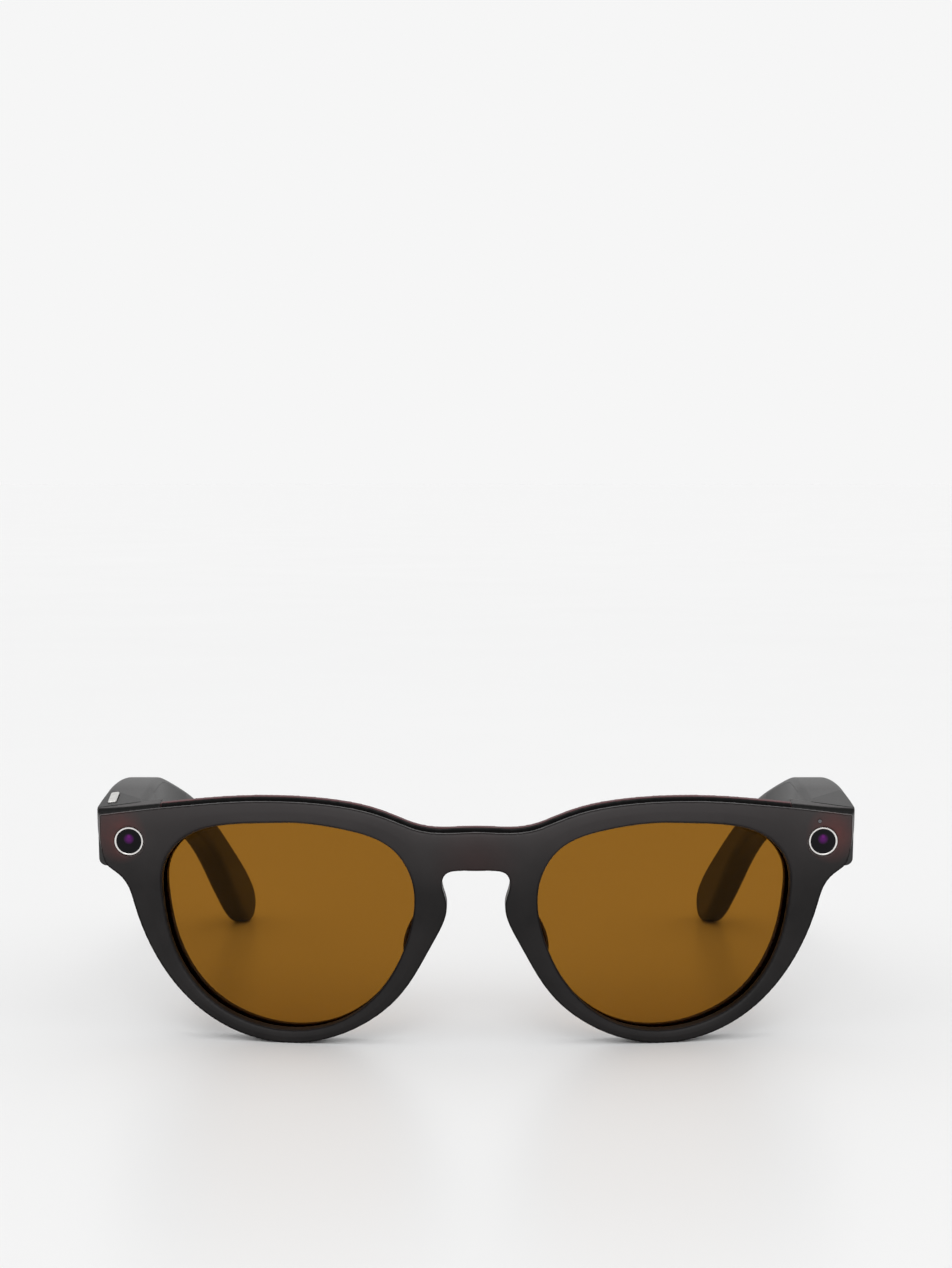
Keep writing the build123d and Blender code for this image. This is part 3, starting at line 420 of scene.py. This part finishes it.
SLOT_MATERIALS = {
    "frame_front": frame_plastic("front_acetate", (0.0045, 0.0037, 0.0037), (0.0330, 0.0290, 0.0292),
                                 (0.085, 0.028, 0.026)),
    "frame_rear": frame_plastic("rear_acetate", (0.018, 0.0050, 0.0052), (0.075, 0.0130, 0.0160),
                                (0.050, 0.015, 0.013)),
    "temple_shell": shell_plastic("temple_plastic", (0.029, 0.0282, 0.0282), (0.043, 0.0418, 0.0418)),
    "temple_cover": shell_plastic("cover_plastic", (0.011, 0.0105, 0.0105), (0.018, 0.017, 0.017)),
    "lens": tinted_lens("amber_lens"),
    "silver_ring": metal("ring_silver", (0.86, 0.84, 0.82), (0.70, 0.68, 0.66), (0.16, 0.26), scale=1500),
    "window_glass": camera_glass("camera_glass"),
    "module_black": plain_plastic("module_plastic", (0.008, 0.008, 0.009), (0.016, 0.016, 0.017)),
    "circuit_board": circuit_board("board_mask"),
    "flex_cable": plain_plastic("polyimide_film", (0.32, 0.13, 0.018), (0.42, 0.18, 0.03),
                                (0.22, 0.34), 1500),
    "hinge_steel": metal("hinge_metal", (0.60, 0.59, 0.57), (0.42, 0.41, 0.40), (0.24, 0.4),
                         (1, 1, 0.1), 2200),
    "gold_contact": metal("contact_gold", (0.90, 0.66, 0.28), (0.74, 0.50, 0.18), (0.18, 0.3)),
    "shield_metal": metal("shield_tin", (0.62, 0.62, 0.63), (0.45, 0.45, 0.46), (0.3, 0.45)),
    "light_guide": light_guide("guide_clear"),
    "battery_foil": metal("pouch_foil", (0.50, 0.51, 0.53), (0.36, 0.37, 0.39), (0.3, 0.5), scale=400),
    "mesh_metal": woven_mesh("speaker_weave"),
    "button_metal": metal("button_satin", (0.78, 0.77, 0.75), (0.55, 0.54, 0.52), (0.22, 0.36),
                          (0.2, 1, 1), 2500),
    "switch_plastic": plain_plastic("switch_plastic", (0.030, 0.028, 0.028), (0.045, 0.042, 0.042)),
}

node_slots = {}
for name, node in nodes.items():
    node_slots[name] = node.data.materials[0].name.split(".")[0]
    for index in range(len(node.data.materials)):
        node.data.materials[index] = SLOT_MATERIALS[node_slots[name]]


# ---------------------------------------------------------------- rounded pieces
def depth_behind_face(point):
    """How far a point lies behind the bent face, in metres."""
    front = cad_box[0].y
    return FACE_RADIUS - math.hypot(point[0], point[1] - front - FACE_RADIUS)


def near_camera(point):
    """Whether a point lies on the seat round a camera, which stays flat."""
    for side in ("left", "right"):
        ring = middle(f"camera_ring_{side}")
        if math.hypot(point[0] - ring.x, point[2] - ring.z) < RING_CLEARANCE:
            return True
    return False


def face_rim(mesh):
    """Points along the sharp edges that bound the face, close together."""
    shape = bmesh.new()
    shape.from_mesh(mesh)
    bmesh.ops.remove_doubles(shape, verts=shape.verts, dist=1e-6)
    points = []
    for edge in shape.edges:
        if not edge.is_manifold or edge.calc_face_angle() < SHARP_ANGLE:
            continue
        start, end = (vert.co for vert in edge.verts)
        if max(depth_behind_face(start), depth_behind_face(end)) > FACE_SKIN:
            continue
        if near_camera(start) or near_camera(end):
            continue
        steps = max(1, math.ceil((end - start).length / VOXEL))
        points += [start.lerp(end, step / steps) for step in range(steps + 1)]
    shape.free()
    return points


def remeshed(node, piece_name, smooth_steps):
    """A piece with the shape of a CAD node, evenly meshed and with softened edges."""
    piece = bpy.data.objects.new(piece_name, nodes[node].data.copy())
    bpy.context.scene.collection.objects.link(piece)
    remesh = piece.modifiers.new("even", "REMESH")
    remesh.mode = "VOXEL"
    remesh.voxel_size = VOXEL
    remesh.use_smooth_shade = True
    smooth = piece.modifiers.new("soften", "SMOOTH")
    smooth.factor = SMOOTH_FACTOR
    smooth.iterations = smooth_steps
    graph = bpy.context.evaluated_depsgraph_get()
    mesh = bpy.data.meshes.new_from_object(piece.evaluated_get(graph))
    piece.modifiers.clear()
    piece.data = mesh
    mesh.name = piece_name
    mesh.materials.clear()
    mesh.materials.append(SLOT_MATERIALS[node_slots[node]])
    return piece


def stand_in(piece, node):
    """The piece rides with a CAD node's body and stands for it."""
    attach(piece, body_of(nodes[node])[0])
    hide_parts(node)


def crowned_front():
    """The front shell, its face falling away gently towards every edge."""
    rim = face_rim(nodes["front_frame"].data)
    tree = KDTree(len(rim))
    for index, point in enumerate(rim):
        tree.insert(point, index)
    tree.balance()
    piece = remeshed("front_frame", "front_shell", FRONT_SMOOTH_STEPS)
    places = [vertex.co.copy() for vertex in piece.data.vertices]
    facings = [vertex.normal.y for vertex in piece.data.vertices]
    for place, facing in zip(places, facings):
        if facing > FACING_FORWARD or depth_behind_face(place) > CROWN_DROP:
            continue
        distance = tree.find(place)[2]
        if distance < CROWN_REACH:
            place.y += CROWN_DROP * (1 - distance / CROWN_REACH) ** 2
    piece.data.vertices.foreach_set("co", [value for place in places for value in place])
    piece.data.update()
    stand_in(piece, "front_frame")


crowned_front()
stand_in(remeshed("rear_frame_cover", "rear_shell", REAR_SMOOTH_STEPS), "rear_frame_cover")


# ---------------------------------------------------------------- studio
def backdrop():
    """A wide pale floor that runs to the horizon."""
    paint = Paint("studio_floor")
    base = paint.ramp(paint.noise(3), ((0.3, (0.790, 0.790, 0.790)), (0.7, (0.800, 0.800, 0.800))))
    roughness = paint.spread(paint.noise(8), 0.30, 0.34)
    paint.set(IOR=1.25)
    material = paint.finish(base, roughness)
    mesh = bpy.data.meshes.new("studio_floor")
    shape = bmesh.new()
    bmesh.ops.create_circle(shape, cap_ends=True, segments=96, radius=FLOOR_RADIUS)
    shape.to_mesh(mesh)
    shape.free()
    mesh.materials.append(material)
    floor = bpy.data.objects.new("studio_floor", mesh)
    bpy.context.scene.collection.objects.link(floor)


def soft_sun(name, elevation, strength, spread):
    """A wide soft light from the front, elevation and spread in degrees."""
    data = bpy.data.lights.new(name, "SUN")
    data.energy = strength
    data.angle = math.radians(spread)
    light = bpy.data.objects.new(name, data)
    tilt = math.radians(elevation)
    light.rotation_mode = "QUATERNION"
    light.rotation_quaternion = Vector((0.0, math.cos(tilt), -math.sin(tilt))).to_track_quat("-Z", "Y")
    light.location = (0.0, -math.cos(tilt), math.sin(tilt))
    bpy.context.scene.collection.objects.link(light)


def studio():
    """An even white surround, two soft suns and the floor."""
    world = bpy.context.scene.world or bpy.data.worlds.new("studio")
    bpy.context.scene.world = world
    world.use_nodes = True
    sky = world.node_tree.nodes["Background"]
    sky.inputs["Color"].default_value = (1.0, 1.0, 1.0, 1.0)
    sky.inputs["Strength"].default_value = SKY_STRENGTH
    soft_sun("top_soft", **TOP_SUN)
    soft_sun("front_soft", **FRONT_SUN)
    backdrop()


def camera():
    """A long lens a little above the horizontal, straight ahead of the face."""
    aim = Vector((0.0, cad_box[0].y, AIM_HEIGHT))
    ahead = Vector((0.0, math.cos(CAMERA_PITCH), -math.sin(CAMERA_PITCH)))
    data = bpy.data.cameras.new("camera")
    data.sensor_width = 36.0
    data.sensor_fit = "AUTO"
    data.lens = CAMERA_LENS
    data.shift_y = CAMERA_SHIFT
    data.clip_start = 0.01
    data.clip_end = 50.0
    viewer = bpy.data.objects.new("camera", data)
    viewer.location = aim - ahead * CAMERA_DISTANCE
    viewer.rotation_mode = "QUATERNION"
    viewer.rotation_quaternion = ahead.to_track_quat("-Z", "Y")
    bpy.context.scene.collection.objects.link(viewer)
    bpy.context.scene.camera = viewer


studio()
camera()
bpy.context.scene.view_settings.view_transform = "Standard"
